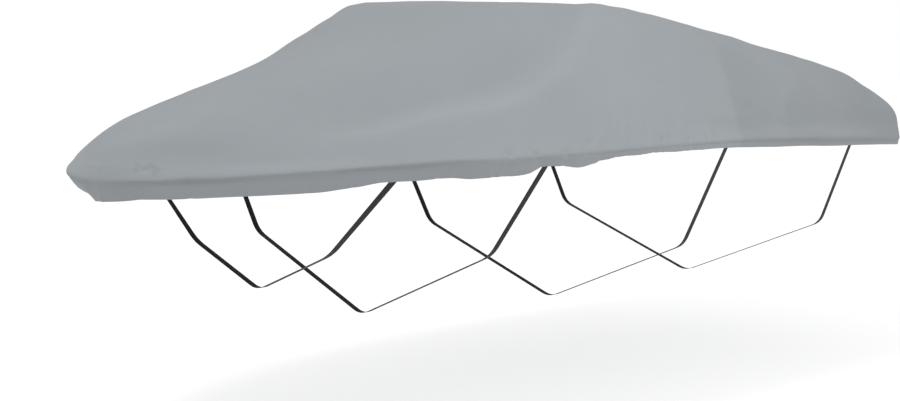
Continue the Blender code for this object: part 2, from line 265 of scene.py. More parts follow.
# Long soft folds, each through three points.
FOLDS = both_sides(
    "along_1 up_1 along_2 up_2 along_3 up_3 width height",
    port=(
        # the hollow in front of the shoulder, and the one under it
        (2.7, 0.8, 2.05, 0.62, 1.45, 0.52, 0.11, -0.008),
        (3.3, 0.46, 2.6, 0.27, 1.9, 0.17, 0.08, -0.005),
        # the corner of the hump, down towards the quarter
        (3.6, 0.86, 3.95, 0.6, 4.4, 0.42, 0.09, 0.005),
        # soft upright folds over the puckered stretch of hem
        (2.74, 0.0, 2.83, 0.12, 2.92, 0.27, 0.022, 0.0045),
        (2.66, 0.0, 2.72, 0.1, 2.79, 0.22, 0.018, -0.004),
        (2.95, 0.01, 2.99, 0.09, 3.05, 0.21, 0.016, -0.003),
        (2.3, 0.02, 2.27, 0.14, 2.22, 0.27, 0.03, -0.003),
        (3.24, 0.02, 3.28, 0.09, 3.34, 0.17, 0.024, 0.0035),
        # short upright crease on the side of the hump
        (2.428, 0.35, 2.418, 0.3, 2.412, 0.245, 0.008, -0.0042),
        (2.448, 0.345, 2.44, 0.3, 2.434, 0.25, 0.008, 0.002),
        # small dents low on the side
        (2.235, 0.15, 2.263, 0.162, 2.3, 0.168, 0.012, -0.0034),
        (2.495, 0.04, 2.529, 0.047, 2.56, 0.042, 0.013, -0.006),
        # the long wrinkle low on the side, forward of the hump
        (1.54, 0.196, 1.7, 0.205, 1.86, 0.197, 0.009, -0.003),
        (1.78, 0.216, 1.88, 0.224, 1.98, 0.212, 0.011, 0.0026),
        # the small dent at the bow, with a curved crease round its after side
        (0.248, 0.072, 0.262, 0.058, 0.27, 0.044, 0.018, -0.012),
        (0.272, 0.09, 0.306, 0.048, 0.3, 0.002, 0.011, -0.014),
        (0.222, 0.09, 0.214, 0.056, 0.222, 0.026, 0.012, -0.012),
        # a slack stretch at the bow and a faint pull above it
        (0.08, 0.13, 0.42, 0.15, 0.84, 0.13, 0.06, -0.014),
        (0.66, 0.372, 0.76, 0.366, 0.86, 0.35, 0.012, -0.0024),
        # small upright creases across the fold under the rail
        (0.432, -0.008, 0.444, -0.002, 0.462, 0.002, 0.01, -0.006),
        (1.985, 0.0, 1.997, 0.022, 2.003, 0.044, 0.018, -0.01),
        (2.128, -0.012, 2.139, 0.006, 2.146, 0.034, 0.017, -0.011),
        (2.33, -0.014, 2.339, 0.004, 2.345, 0.032, 0.017, -0.011),
        (3.075, 0.004, 3.085, 0.026, 3.095, 0.05, 0.011, -0.0055),
        (3.135, 0.01, 3.15, 0.04, 3.16, 0.065, 0.01, -0.005),
        (3.3, -0.004, 3.308, 0.018, 3.318, 0.044, 0.011, -0.0055),
        (3.455, 0.0, 3.465, 0.018, 3.47, 0.042, 0.01, -0.005),
        (3.54, 0.006, 3.548, 0.026, 3.552, 0.046, 0.01, -0.0045),
        # small raised pulls over the hem
        (2.53, 0.006, 2.59, 0.056, 2.66, 0.102, 0.012, 0.004),
        (2.712, 0.068, 2.745, 0.118, 2.78, 0.168, 0.011, 0.0032),
        (3.485, 0.044, 3.505, 0.06, 3.525, 0.076, 0.018, 0.004),
        (4.58, 0.046, 4.64, 0.053, 4.7, 0.044, 0.018, 0.0036),
        # the flat of the quarter, hollow just behind its first edge
        (4.16, 0.62, 4.26, 0.34, 4.28, 0.04, 0.23, -0.02),
        # slack over the aft deck
        (4.3, 0.62, 4.75, 0.5, 5.25, 0.38, 0.1, -0.006),
        (5.45, 0.36, 5.62, 0.22, 5.68, 0.06, 0.04, 0.003),
        (6.05, 0.3, 6.1, 0.18, 6.12, 0.05, 0.045, -0.0035),
    ),
    starboard=(
        # like the port ones, each a little different
        (2.65, 0.82, 2.0, 0.64, 1.4, 0.54, 0.115, -0.008),
        (3.2, 0.48, 2.55, 0.29, 1.85, 0.18, 0.08, -0.005),
        (3.55, 0.88, 3.9, 0.62, 4.3, 0.45, 0.085, 0.0055),
        (2.42, 0.0, 2.47, 0.12, 2.55, 0.25, 0.024, 0.004),
        (2.84, 0.01, 2.86, 0.1, 2.93, 0.23, 0.02, -0.004),
        (3.15, 0.0, 3.21, 0.08, 3.25, 0.2, 0.019, -0.0035),
        (0.26, 0.09, 0.29, 0.06, 0.3, 0.02, 0.018, -0.0035),
        (2.03, -0.004, 2.042, 0.018, 2.05, 0.04, 0.012, -0.006),
        (2.38, -0.012, 2.392, 0.008, 2.4, 0.032, 0.011, -0.0065),
        (3.11, 0.004, 3.118, 0.028, 3.13, 0.054, 0.011, -0.0055),
        (3.39, 0.0, 3.4, 0.02, 3.404, 0.044, 0.01, -0.005),
        (2.6, 0.01, 2.65, 0.05, 2.7, 0.09, 0.013, 0.004),
        # the full skirt under the shoulder of the bow
        (-0.04, -0.06, 0.5, -0.082, 1.1, -0.064, 0.056, 0.026),
        # the quarter and the aft deck, like the port ones
        (4.2, 0.6, 4.3, 0.34, 4.3, 0.06, 0.22, -0.018),
        (4.25, 0.64, 4.7, 0.52, 5.2, 0.4, 0.1, -0.006),
        (5.45, 0.34, 5.6, 0.22, 5.66, 0.06, 0.04, 0.003),
        (6.15, 0.32, 6.22, 0.18, 6.2, 0.05, 0.04, -0.0035),
    ),
)
FOLD_STEPS = 40
FOLD_REACH = 3.2
FOLD_TIP = 0.02
FOLD_TAPER = 0.7

# Edges where the cloth is drawn tight over something, each along a path of points (along, up).
# The upper or aft side, on the right of a path, is called above. The flanks reach as far as
# below and above say, crest is the height of the edge, and step is how much higher the cloth
# above it lies. A painted highlight makes the cloth paler along the last part of a path, and
# painted shade darkens it above the first part: the last two columns say how much.
EDGES = both_sides(
    "points below above round crest step pale panel",
    port=(
        # from the rear corner of the hump, down and forward to the side of the bow
        (((3.35, 1.1), (2.95, 0.75), (2.57, 0.49), (2.19, 0.36), (1.81, 0.345), (1.45, 0.275),
          (1.07, 0.225)),
         0.2, 0.24, 0.045, 0.0, -0.058, 0.42, -0.3),
        # the quarter, in two soft facets
        (((3.8, 0.06), (3.82, 0.2), (3.9, 0.4), (4.02, 0.66)),
         0.3, 0.16, 0.014, 0.014, 0.0, 0.0, -0.44),
        (((4.3, 0.05), (4.36, 0.18), (4.52, 0.3), (4.8, 0.46)),
         0.3, 0.2, 0.014, 0.018, 0.0, 0.06, -0.2),
    ),
    starboard=(
        (((3.16, 0.97), (2.92, 0.76), (2.54, 0.51), (2.15, 0.37), (1.78, 0.335), (1.42, 0.28),
          (1.1, 0.235)),
         0.16, 0.12, 0.048, 0.0, -0.03, 0.3, -0.26),
        (((3.86, 0.06), (3.9, 0.2), (3.96, 0.42), (4.06, 0.66)),
         0.32, 0.14, 0.018, 0.012, 0.0, 0.0, -0.4),
        (((4.38, 0.05), (4.44, 0.18), (4.55, 0.32), (4.74, 0.47)),
         0.3, 0.12, 0.016, 0.01, 0.0, 0.06, -0.2),
    ),
)
EDGE_STEPS = 60
EDGE_END = 0.2
# Width of the painted highlight along an edge, and the share of the path over which it comes in; then
# the softness and reach of the painted shade above an edge.
EDGE_PALE_WIDTH = 0.062
PALE_FROM = 0.25
PALE_TO = 0.5
PAINTED_SHADE_EDGE = 0.02
PAINTED_SHADE_REACH = 0.55

# Puckers that rise from the hem: up_to is how far over the rail's fold they reach, and lean is
# how far aft they have moved halfway up.
PUCKERS = both_sides(
    "along up_to lean width height",
    port=(
        (0.437, 0.012, 0.004, 0.012, -0.0045),
        (0.985, 0.018, 0.006, 0.014, -0.0025),
        (1.21, 0.022, -0.004, 0.016, -0.003),
        (1.395, 0.015, 0.005, 0.012, 0.0025),
        (1.625, 0.028, 0.006, 0.013, -0.005),
        (1.69, 0.02, -0.004, 0.01, 0.003),
        (1.925, 0.045, 0.008, 0.012, -0.0055),
        (1.972, 0.075, 0.004, 0.009, -0.004),
        (2.03, 0.03, -0.006, 0.012, 0.0035),
        (2.085, 0.05, 0.01, 0.01, -0.0045),
        (2.16, 0.036, 0.004, 0.014, -0.004),
        (2.225, 0.07, -0.006, 0.012, 0.004),
        (2.29, 0.042, 0.008, 0.01, -0.0055),
        (2.352, 0.06, 0.01, 0.014, -0.0045),
        (2.418, 0.034, -0.004, 0.01, 0.004),
        (2.47, 0.066, 0.012, 0.012, -0.005),
        (2.545, 0.044, 0.006, 0.01, -0.0035),
        (2.6, 0.082, 0.014, 0.013, -0.005),
        (2.668, 0.052, 0.006, 0.01, 0.004),
        (2.722, 0.07, 0.016, 0.012, -0.0055),
        (2.8, 0.048, 0.008, 0.011, -0.004),
        (2.862, 0.064, 0.01, 0.01, 0.0035),
        (2.93, 0.05, 0.012, 0.012, -0.0045),
        (3.012, 0.058, 0.008, 0.009, -0.005),
        (3.064, 0.04, 0.01, 0.01, -0.0045),
        (3.118, 0.062, 0.006, 0.008, -0.004),
        (3.19, 0.038, 0.004, 0.011, 0.003),
        (3.272, 0.05, 0.01, 0.009, -0.0042),
        (3.34, 0.034, 0.004, 0.009, -0.0035),
        (3.432, 0.046, 0.008, 0.011, 0.003),
        (3.53, 0.03, 0.004, 0.01, -0.0028),
        (3.69, 0.026, 0.006, 0.012, -0.002),
    ),
    starboard=(
        (0.52, 0.014, 0.004, 0.013, -0.0035),
        (0.93, 0.02, 0.006, 0.014, -0.003),
        (1.33, 0.018, -0.004, 0.012, 0.003),
        (1.58, 0.03, 0.006, 0.014, -0.0045),
        (1.76, 0.036, 0.004, 0.01, 0.003),
        (1.895, 0.06, 0.008, 0.012, -0.005),
        (2.01, 0.04, -0.006, 0.011, -0.004),
        (2.125, 0.056, 0.006, 0.013, 0.004),
        (2.215, 0.034, 0.008, 0.01, -0.005),
        (2.33, 0.072, 0.01, 0.013, -0.0045),
        (2.44, 0.04, -0.004, 0.01, 0.0035),
        (2.52, 0.062, 0.012, 0.012, -0.005),
        (2.64, 0.046, 0.006, 0.011, -0.004),
        (2.735, 0.078, 0.012, 0.012, 0.004),
        (2.82, 0.052, 0.006, 0.01, -0.005),
        (2.945, 0.04, 0.01, 0.012, -0.0042),
        (3.05, 0.06, 0.008, 0.009, -0.0046),
        (3.16, 0.036, 0.004, 0.01, 0.003),
        (3.255, 0.048, 0.008, 0.01, -0.004),
        (3.42, 0.034, 0.004, 0.011, -0.003),
        (3.6, 0.028, 0.006, 0.012, 0.0025),
        (3.98, 0.022, 0.004, 0.012, -0.0022),
    ),
)
PUCKER_FOOT_WIDTH = 0.75
PUCKER_SPREAD = 0.7
PUCKER_FOOT_HEIGHT = 0.55
PUCKER_RISE = 0.9
PUCKER_FADE = 0.8

# The groove pressed in under the rail's fold and where it lies, and how far the cloth flares out
# over it, from what height, at distances along the rail.
RAIL = table(
    "at groove groove_up flare flare_from",
    (0.0, 0.0005, -0.014, 0.0, 0.095),
    (0.1, 0.003, -0.014, 0.0, 0.095),
    (0.2, 0.005, -0.012, 0.003, 0.095),
    (0.36, 0.0095, -0.008, 0.011, 0.095),
    (0.46, 0.0095, -0.005, 0.012, 0.095),
    (0.62, 0.01, -0.012, 0.014, 0.095),
    (0.8, 0.0045, -0.011, 0.014, 0.095),
    (1.02, 0.0035, -0.015, 0.012, 0.095),
    (1.17, 0.007, -0.01, 0.009, 0.095),
    (1.4, 0.0078, -0.008, 0.006, 0.09),
    (1.66, 0.0095, -0.002, 0.004, 0.08),
    (1.93, 0.0034, -0.007, 0.003, 0.08),
    (2.29, 0.0026, -0.01, 0.001, 0.08),
    (2.73, 0.0024, -0.018, 0.001, 0.08),
    (3.2, 0.0022, -0.015, 0.002, 0.07),
    (3.8, 0.0024, -0.017, 0.008, 0.06),
    (4.6, 0.0034, -0.019, 0.012, 0.06),
    (5.2, 0.0034, -0.013, 0.01, 0.06),
    (5.6, 0.004, -0.014, 0.001, 0.06),
    (6.9, 0.004, -0.014, 0.001, 0.06),
)
GROOVE_WIDTH = 0.008
FLARE_CURVE = 1.6
FLARE_END = -0.02

# The shares of groove and flare that each side has: the starboard rail is softer.
RAIL_SHARE = {PORT: 1.0, STARBOARD: 0.35}

# Gentle unevenness of the whole cloth: length of each wave along and across, and its height.
# Each next wave is shifted by a share of a turn.
SWELLS = ((0.93, 0.71, 0.0016), (0.57, -0.83, 0.0012), (0.41, 0.37, 0.0009), (0.23, -0.31, 0.0006))
SWELL_SHIFT = 0.37
SWELL_SHIFT_UP = 0.21
SWELL_TALLER = 1.3

# Broad swellings on both sides: place from above, width, and height over the ribs' shape.
BODY = table(
    "x y width height",
    (0.15, 0.43, 0.1, 0.009),
    (0.8, 0.28, 0.2, 0.0045),
    (1.78, 0.58, 0.15, 0.012),
    (2.06, 0.62, 0.06, -0.015),
    (2.18, 0.52, 0.08, 0.0085),
    (2.27, 0.15, 0.25, -0.003),
    (2.78, 0.62, 0.07, 0.0055),
    (2.9, 0.5, 0.12, -0.005),
    (3.13, 0.66, 0.11, -0.0065),
    (3.86, 0.69, 0.12, 0.005),
    (4.97, 0.86, 0.08, 0.0095),
    (5.26, 0.96, 0.08, -0.008),
)

# Painted light in the cloth's colour, and painted shade where below zero, in the crease under
# the rail, on the wall just over the rail, and on the skirt, at distances along the rail.
PAINTED_RAIL_SHADING = table(
    "at crease wall skirt",
    (0.0, -0.2, 0.4, 0.36),
    (0.2, -0.4, 0.52, 0.44),
    (0.34, -0.75, 0.52, 0.62),
    (0.62, -0.7, 0.46, 0.58),
    (0.8, -0.15, 0.36, 0.46),
    (1.02, -0.05, 0.24, 0.44),
    (1.16, -0.55, 0.12, 0.46),
    (1.37, -0.6, -0.1, 0.52),
    (1.66, -0.7, -0.06, 0.64),
    (1.8, -0.2, 0.0, 0.7),
    (1.93, 0.2, 0.0, 0.74),
    (2.14, -0.2, 0.0, 0.7),
    (2.29, 0.2, 0.0, 0.7),
    (2.5, 0.3, 0.0, 0.6),
    (2.73, 0.1, 0.0, 0.4),
    (3.1, 0.45, 0.0, 0.4),
    (3.8, 0.5, 0.12, 0.4),
    (4.3, 0.4, 0.34, 0.2),
    (5.0, 0.1, 0.46, 0.1),
    (5.6, 0.0, 0.3, 0.0),
    (6.9, 0.0, 0.2, 0.0),
)
# Width of the painted shade in the crease, place and width of the painted light on the wall, and the
# height over which the skirt's painted light comes in.
CREASE_WIDTH = 0.008
WALL_PALE_AT = 0.046
WALL_PALE_WIDTH = 0.034
SKIRT_PALE_FROM = 0.06
# A painted highlight along the hem's edge, and its width.
HEM_PALE = 0.45
HEM_PALE_WIDTH = 0.007

# What belongs to one side only fades out over this distance from the ridge, stem and transom.
SIDE_FADE = 0.1


def soft(distance, width):
    """A bell, 1 in the middle and a half at the width."""
    return np.exp(-np.log(2) * (distance / width) ** 2)


def edge_distances(along, up, points):
    """Distance of each spot from an edge, below zero under it, and the share of the edge's path
    that is passed there."""
    shares = np.linspace(0, len(points) - 1, EDGE_STEPS + 1)
    line = np.stack([spline(np.array(values), shares) for values in zip(*points)], axis=1)
    best = np.full(up.shape, np.inf)
    place = np.zeros(up.shape)
    below = np.zeros(up.shape, dtype=bool)
    for number, (start, end) in enumerate(zip(line, line[1:])):
        step = end - start
        ahead, over = along - start[0], up - start[1]
        share = np.clip((ahead * step[0] + over * step[1]) / (step @ step), 0, 1)
        ahead = ahead - share * step[0]
        over = over - share * step[1]
        distance = np.hypot(ahead, over)
        closer = distance < best
        best[closer] = distance[closer]
        place[closer] = (number + share[closer]) / EDGE_STEPS
        below[closer] = (step[0] * over > step[1] * ahead)[closer]
    return np.where(below, -best, best), place


def edge_forms(along, up, side):
    """How far the cloth stands up over its edges, and the painted highlight and painted shade in its
    colour there.
    """
    relief, fade = np.zeros((2, *up.shape))
    for edge in EDGES[side]:
        over, place = edge_distances(along, up, edge.points)
        taper = ease(np.clip(np.minimum(place, 1 - place) / EDGE_END, 0, 1))
        reach = np.where(over < 0, edge.below, edge.above)
        rounded = np.hypot(over, edge.round) - edge.round
        height = edge.crest + edge.step / 2 * np.tanh(over / edge.round)
        relief += height * np.exp(-rounded / reach) * taper
        # painted highlight: a paler stripe along the last part of the edge's path
        late = np.clip((place - PALE_FROM) / (PALE_TO - PALE_FROM), 0, 1)
        fade += edge.pale * soft(over, EDGE_PALE_WIDTH) * taper * late
        # painted shade: the cloth above the first part of the path is darkened
        above = 0.5 + 0.5 * np.tanh(over / PAINTED_SHADE_EDGE)
        fade += edge.panel * above * soft(over, PAINTED_SHADE_REACH) * np.sqrt(1 - place)
    return relief, fade


def fold_relief(along, up, side):
    relief = np.zeros_like(up)
    for fold in FOLDS[side]:
        path = np.array([(fold.along_1, fold.up_1), (fold.along_2, fold.up_2),
                         (fold.along_3, fold.up_3)])
        start, middle, end = path
        corner = 2 * middle - (start + end) / 2
        reach = FOLD_REACH * fold.width
        (fore, low), (aft, high) = path.min(axis=0) - reach, path.max(axis=0) + reach
        near = (along > fore) & (along < aft) & (up > low) & (up < high)
        spots = np.stack([along[near], up[near]], axis=1)
        best = np.full(len(spots), np.inf)
        place = np.zeros(len(spots))
        for share in np.linspace(0, 1, FOLD_STEPS + 1):
            distance = np.linalg.norm(spots - bend(start, corner, end, share), axis=1)
            closer = distance < best
            best[closer] = distance[closer]
            place[closer] = share
        taper = np.sin(np.pi * np.clip(place, FOLD_TIP, 1 - FOLD_TIP)) ** FOLD_TAPER
        relief[near] += fold.height * soft(best, fold.width) * taper
    return relief


def pucker_relief(along, up, side):
    relief = np.zeros_like(up)
    hem_up = up[:, -1:]
    for pucker in PUCKERS[side]:
        share = np.clip((up - hem_up) / (pucker.up_to - hem_up), 0, 1)
        middle = pucker.along + pucker.lean * share * 2
        width = pucker.width * (PUCKER_FOOT_WIDTH + PUCKER_SPREAD * share)
        fade = (1 - share) ** PUCKER_FADE * (PUCKER_FOOT_HEIGHT + PUCKER_RISE * share)
        relief += pucker.height * soft(along - middle, width) * fade
    return relief


def rail_relief(along, up, side):
    groove, groove_up, flare, flare_from = (
        between_rows(RAIL, name, along) for name in ("groove", "groove_up", "flare", "flare_from"))
    flared = np.clip(1 - np.maximum(up, 0) / flare_from, 0, 1) ** FLARE_CURVE
    flared = flared * np.clip(1 - up / FLARE_END, 0, 1)
    return RAIL_SHARE[side] * (flare * flared - groove * soft(up - groove_up, GROOVE_WIDTH))


def body_relief(points):
    relief = np.zeros(points.shape[:2])
    for swelling in BODY:
        away = np.hypot(points[:, :, 0] - swelling.x, np.abs(points[:, :, 1]) - swelling.y)
        relief += swelling.height * soft(away, swelling.width)
    return relief


def swell_relief(points, side):
    relief = np.zeros(points.shape[:2])
    x, y, z = points[:, :, 0], points[:, :, 1] * side, points[:, :, 2]
    for number, (length, across, height) in enumerate(SWELLS):
        turns = x / length + y / across + SWELL_SHIFT * number
        turns_up = z / (SWELL_TALLER * length) + SWELL_SHIFT_UP * number
        relief += height * np.sin(2 * np.pi * turns) * np.cos(2 * np.pi * turns_up)
    return relief


def cloth_relief(along, points, up, side, over_edges):
    """How far the cloth stands off its smooth shape."""
    own_side = (np.clip(np.abs(points[:, :, 1]) / SIDE_FADE, 0, 1)
                * np.clip(np.minimum(along, along[-1] - along) / SIDE_FADE, 0, 1))
    one_sided = (over_edges + fold_relief(along, up, side) + pucker_relief(along, up, side)
                 + rail_relief(along, up, side))
    return one_sided * own_side + body_relief(points) + swell_relief(points, side)


def paint_rail_shading(along, up):
    """Painted light in the cloth's colour near the rail, and painted shade where below zero."""
    crease, wall, skirt = (between_rows(PAINTED_RAIL_SHADING, name, along) for name in ("crease", "wall", "skirt"))
    return (crease * soft(up - between_rows(RAIL, "groove_up", along), CREASE_WIDTH)
            + wall * soft(up - WALL_PALE_AT, WALL_PALE_WIDTH)
            + skirt * np.clip(-up / SKIRT_PALE_FROM, 0, 1)
            + HEM_PALE * soft(up - up[:, -1:], HEM_PALE_WIDTH))


# ---------------- the sheet
def add_mesh(name, points, faces, uv=None, fade=None):
    """A mesh object from its points and faces, with one UV and one value of painted light and shade
    for each point.
    """
    mesh = bpy.data.meshes.new(name)
    mesh.from_pydata([tuple(point) for point in points], [], [tuple(face) for face in faces])
    if uv is not None:
        layer = mesh.uv_layers.new(name="cloth")
        corners = np.empty(len(mesh.loops), dtype=int)
        mesh.loops.foreach_get("vertex_index", corners)
        layer.data.foreach_set("uv", np.asarray(uv, dtype=np.float32)[corners].ravel())
    if fade is not None:
        values = mesh.attributes.new("fade", "FLOAT", "POINT").data
        values.foreach_set("value", fade.astype(np.float32))
    mesh.shade_smooth()
    piece = bpy.data.objects.new(name, mesh)
    bpy.context.scene.collection.objects.link(piece)
    return piece


def joined_normals(points, quads):
    """Normals of the points of a mesh of quads."""
    a, b, c, d = (points[quads[:, corner]] for corner in range(4))
    faces = np.cross(c - a, d - b)
    normals = np.zeros_like(points)
    for corner in range(4):
        np.add.at(normals, quads[:, corner], faces)
    return unit(normals)


def cover_grid(count):
    """Numbers of the points of each side's grid of ribs, the starboard one after the port one.

    Both sides share the points on the centre plane: the ridge, the stem and the transom."""
    rows = sum(CORNER_STEPS) + 1
    port = np.arange(count * rows).reshape(count, rows)
    starboard = np.full((count, rows), -1)
    starboard[:, 0] = port[:, 0]
    starboard[0] = port[0]
    starboard[-1] = port[-1]
    free = starboard < 0
    starboard[free] = count * rows + np.arange(free.sum())
    return port, starboard


def face_quads(port, starboard):
    """The quads of both sides, facing out."""
    quads = []
    for grid, turned in ((port, False), (starboard, True)):
        corners = [grid[:-1, :-1], grid[:-1, 1:], grid[1:, 1:], grid[1:, :-1]]
        if turned:
            corners.reverse()
        quads.append(np.stack([corner.ravel() for corner in corners], axis=1))
    return np.concatenate(quads)


def build_cloth():
    """The sheet's outer and inner faces, as grids, with everything that hangs on them."""
    places, distances = stations()
    port, starboard = cover_grid(len(places))
    quads = face_quads(port, starboard)
    total = starboard.max() + 1
    base = np.zeros((total, 3))
    uv = np.zeros((total, 2))
    lift, thick, fade = np.zeros((3, total))
    for grid, side in ((starboard, STARBOARD), (port, PORT)):
        points = ribs(places, side)
        up = heights_over_rail(points)
        along = np.repeat(distances[:, None], up.shape[1], axis=1)
        in_hem = np.clip((HEM_WIDTH - (up - up[:, -1:])) / HEM_STEP, 0, 1)
        thick[grid] = CLOTH + (HEM_THICKNESS - CLOTH) * in_hem
        thick[grid[:, :FIRST_FINE_ROW]] = CLOTH_OVER_TOP
        over_edges, painted_edge_shading = edge_forms(along, up, side)
        lift[grid] = cloth_relief(along, points, up, side, over_edges)
        # Painted light and shade in the cloth's colour, along its edges and near the rail.
        fade[grid] = painted_edge_shading + paint_rail_shading(along, up)
        uv[grid] = np.stack([along, up * side], axis=2)
        base[grid] = points * (1, side, 1)
    outer = base + joined_normals(base, quads) * lift[:, None]
    normals = joined_normals(outer, quads)
    outer = outer + normals * ((thick - CLOTH) * HEM_STANDS_PROUD)[:, None]
    inner = outer - normals * thick[:, None]
    return SimpleNamespace(port=port, starboard=starboard, outer=outer - ORIGIN,
                           inner=inner - ORIGIN, normals=normals, uv=uv, thick=thick, fade=fade)


def make_cover(cloth):
    """One closed sheet: outer face, inner face, and the rounded edge of the hem."""
    port, starboard = cloth.port, cloth.starboard
    total = len(cloth.outer)
    rows = [*range(0, FIRST_FINE_ROW, INNER_STEP), *range(FIRST_FINE_ROW, port.shape[1])]
    loop, above = (np.concatenate([port[:, row], starboard[-2:0:-1, row]]) for row in (-1, -2))
    down = unit(cloth.outer[loop] - cloth.outer[above])
    middle = (cloth.outer[loop] + cloth.inner[loop]) / 2
    half = cloth.thick[loop][:, None] / 2
    points = [cloth.outer, cloth.inner]
    source = [np.arange(total), np.arange(total)]
    chain = [loop]
    for number, angle in enumerate(HEM_EDGE_ANGLES):
        turn = math.radians(angle)
        outward = cloth.normals[loop] * math.cos(turn) + down * math.sin(turn)
        points.append(middle + outward * half)
        source.append(loop)
        chain.append(2 * total + number * len(loop) + np.arange(len(loop)))
    chain.append(loop + total)
    inner_quads = face_quads(port[:, rows], starboard[:, rows])[:, ::-1] + total
    faces = [face_quads(port, starboard), inner_quads]
    for near, far in zip(chain, chain[1:]):
        faces.append(np.stack([near, far, np.roll(far, -1), np.roll(near, -1)], axis=1))
    used, faces = np.unique(np.concatenate(faces), return_inverse=True)
    source = np.concatenate(source)[used]
    return add_mesh("cover_cloth", np.concatenate(points)[used], faces.reshape(-1, 4),
                    cloth.uv[source], cloth.fade[source])


# ---------------- belly straps and stitching
# Where each strap leaves the hem, the chine and keel it goes round, as in the CAD, and the
# height of its tab behind the hem.
STRAPS = table(
    "name hem_x chine_x chine_y chine_z keel_x keel_z tab",
    ("strap_bow", 0.985, 0.975, 0.462, -0.437, 0.96, -0.636, 0.026),
    ("strap_fore", 1.765, 1.715, 0.808, -0.48, 1.672, -0.84, 0.026),
    ("strap_mid", 3.18, 3.2, 0.9, -0.557, 3.21, -0.922, 0.023),
    ("strap_aft", 4.54, 4.565, 0.938, -0.544, 4.575, -0.91, 0.022),
)
WEB_WIDTH = 0.038
WEB_THICKNESS = 0.0018
SEAT_GAP = 0.0004
TAB_LEAD = 0.004
CHINE_ROUND = 0.05
KEEL_ROUND = 0.05
BEND_STEPS = 8
STRETCH_STEPS = 14

# The web's section, as shares of half its width and half its thickness: one face's points, and
# the same with the other sign for the other face.
WEB_FACE = ((-1.0, 0.0), (-0.96, 0.75), (-0.88, 0.95), (-0.45, 1.0), (0.0, 1.0), (0.45, 1.0),
            (0.88, 0.95), (0.96, 0.75))
WEB_SECTION = np.array(WEB_FACE + tuple((-across, -depth) for across, depth in WEB_FACE))

# The share of a side's ribs before the corner of the transom, where the hem still runs aft.
SIDE_SHARE = 0.85

# Topstitching: heights over the hem's edge, and the size of one stitch.
STITCH_ROWS = (0.0045, 0.0195)
STITCH_LENGTH = 0.0065
STITCH_PITCH = 0.0095
STITCH_WIDTH = 0.0013
STITCH_HEIGHT = 0.0006
STITCH_SUNK = 0.3
STITCH_FACES = ((0, 2, 4), (2, 1, 4), (1, 3, 4), (3, 0, 4), (2, 0, 5), (1, 2, 5), (3, 1, 5), (0, 3, 5))
STITCHED_ROWS = CORNER_STEPS[-1] + 6
TACK_WIDTH = 0.031
TACK_LOW = 0.0065
TACK_HIGH = 0.017
TACK_POINTS = 5


def at_column(values, column):
    """A value between two ribs, at a column number that needn't be whole."""
    low = int(column)
    return values[low] + (values[low + 1] - values[low]) * (column - low)


def hem_columns(face, grid, xs):
    """Columns of a side's grid where the hem of a face of the cloth passes distances aft."""
    hem_x = face[grid[:, -1], 0] + ORIGIN[0]
    last = int(len(hem_x) * SIDE_SHARE)
    return np.interp(xs, hem_x[:last], np.arange(last))


def round_bend(before, corner, after, reach):
    start = corner + unit(before - corner) * reach
    end = corner + unit(after - corner) * reach
    return bend(start, corner, end, np.linspace(0, 1, BEND_STEPS + 1)[:, None])


def between(start, end):
    """The inner points of a straight stretch of web."""
    return start + (end - start) * np.linspace(0, 1, STRETCH_STEPS + 1)[1:-1, None]


def half_path(strap, cloth, grid, side):
    """From the top of the tab behind the hem to the keel: points and width directions."""
    half = WEB_WIDTH / 2
    middle, fore, aft = hem_columns(cloth.inner, grid, strap.hem_x + np.array([0, -half, half]))
    hem = at_column(cloth.inner[grid[:, -1]], middle)
    tab, widths = [], []
    for row in grid.T[::-1]:
        line = cloth.inner[row]
        centre = at_column(line, middle)
        inward = -at_column(cloth.normals[row], middle)
        tab.insert(0, centre + inward * (SEAT_GAP + WEB_THICKNESS / 2))
        widths.insert(0, unit(at_column(line, aft) - at_column(line, fore)))
        if np.linalg.norm(centre - hem) > strap.tab:
            break
    foot = tab[-1] + unit(tab[-1] - tab[-2]) * TAB_LEAD
    chine = np.array([strap.chine_x, strap.chine_y * side, strap.chine_z]) - ORIGIN
    keel = np.array([strap.keel_x, 0.0, strap.keel_z]) - ORIGIN
    at_chine = round_bend(foot, chine, keel, CHINE_ROUND)
    at_keel = round_bend(chine, keel, chine * (1, -1, 1), KEEL_ROUND)[:BEND_STEPS // 2 + 1]
    free = np.concatenate([[foot], between(foot, at_chine[0]), at_chine,
                           between(at_chine[-1], at_keel[0]), at_keel])
    turn = np.clip(np.arange(len(free)) / (STRETCH_STEPS + BEND_STEPS), 0, 1)[:, None]
    free_widths = widths[-1] * (1 - turn) + np.array([1.0, 0.0, 0.0]) * turn
    return np.concatenate([tab, free]), unit(np.concatenate([widths, free_widths]))


def make_strap(strap, cloth):
    """One flat web, swept from the port tab round the hull to the starboard tab."""
    first, first_widths = half_path(strap, cloth, cloth.port, PORT)
    second, second_widths = half_path(strap, cloth, cloth.starboard, STARBOARD)
    path = np.concatenate([first, second[-2::-1]])
    widths = np.concatenate([first_widths, second_widths[-2::-1]])
    along = unit(np.gradient(path, axis=0))
    across = unit(widths - along * np.sum(widths * along, axis=1, keepdims=True))
    depth = np.cross(along, across)
    run = lengths_along(path)
    section = WEB_SECTION * (WEB_WIDTH / 2, WEB_THICKNESS / 2)
    points = (path[:, None] + across[:, None] * section[None, :, :1]
              + depth[:, None] * section[None, :, 1:])
    uv = np.stack(np.broadcast_arrays(section[:, 0], run[:, None]), axis=2)
    numbers = np.arange(uv[:, :, 0].size).reshape(len(path), len(section))
    faces = [quad for near, far in zip(numbers, numbers[1:])
             for quad in zip(near, np.roll(near, -1), np.roll(far, -1), far)]
    faces += [numbers[0][::-1], numbers[-1]]
    web = add_mesh(strap.name + "_webbing", points.reshape(-1, 3), faces, uv.reshape(-1, 2))
    return web, run[-1]


